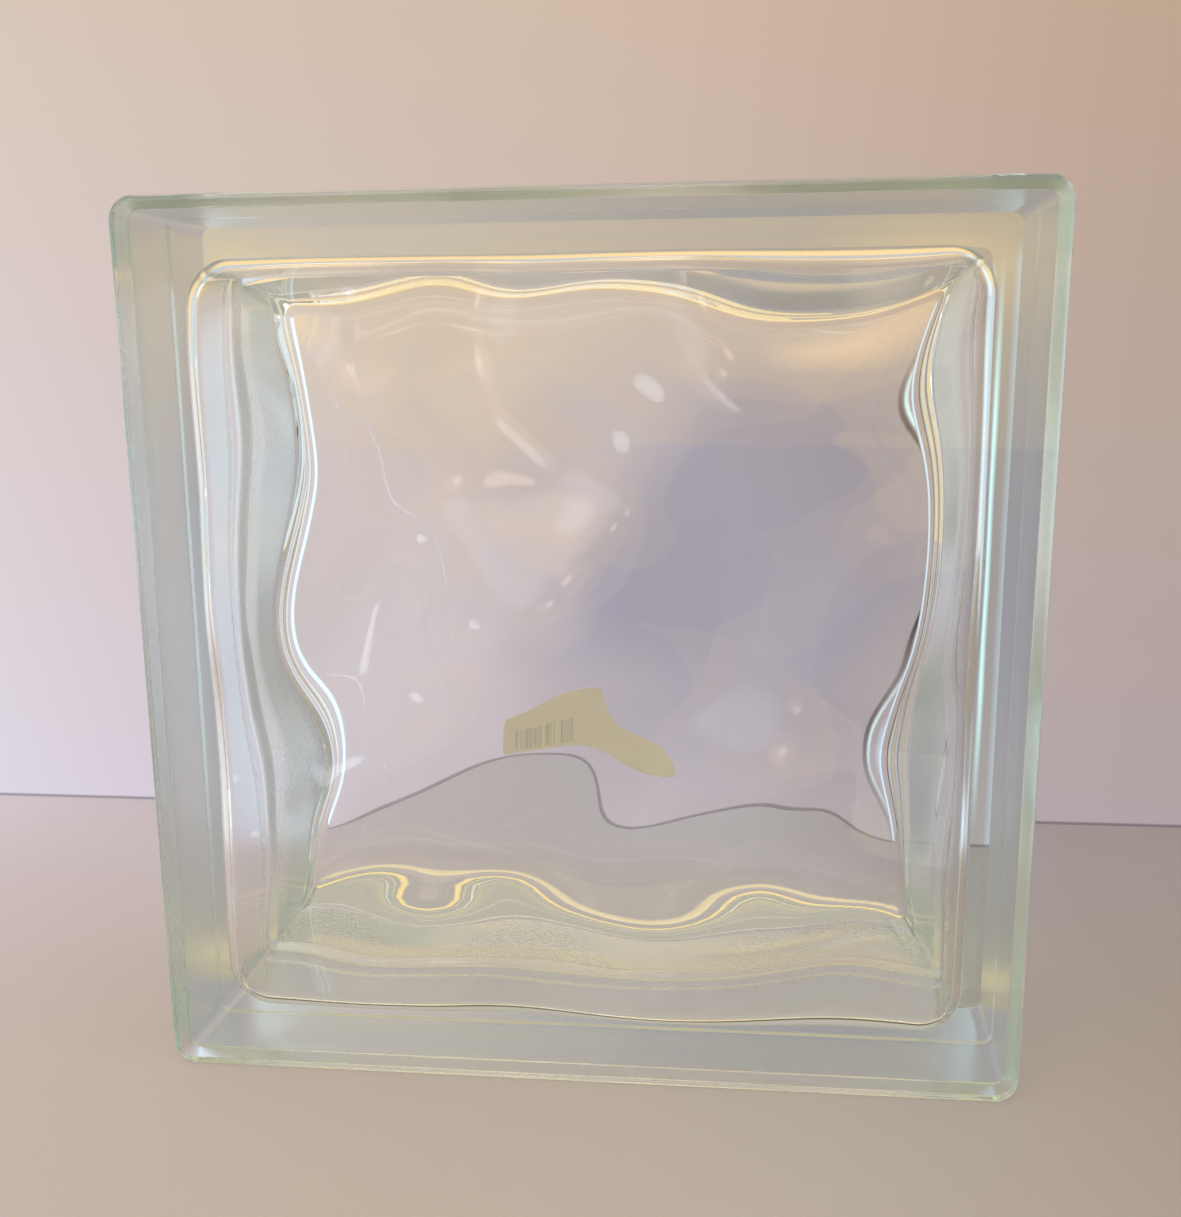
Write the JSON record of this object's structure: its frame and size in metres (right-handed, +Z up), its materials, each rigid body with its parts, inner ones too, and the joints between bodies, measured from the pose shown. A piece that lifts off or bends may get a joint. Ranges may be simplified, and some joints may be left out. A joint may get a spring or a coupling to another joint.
{
  "type": "hollow glass block",
  "caption": "Square hollow glass block with clear flat faces, wavy inner panes and a mortar channel round the edge, for walls that let light through.",
  "frame": {"origin": "middle of the block's base, where it stands on its edge", "axes": "+X to the right along the front face, +Y from the front face back through the thickness, +Z up"},
  "size_m": [0.19, 0.0801, 0.19],
  "materials": {
    "clear_pressed_glass": "clear soda-lime glass, fire polished, faintly green through its thickness",
    "label_paper": "matt pale yellow paper with plain printed bars"
  },
  "bodies": {
    "root": {"front_shell": "clear_pressed_glass", "back_shell": "clear_pressed_glass", "price_label": "label_paper"}
  },
  "joints": []
}
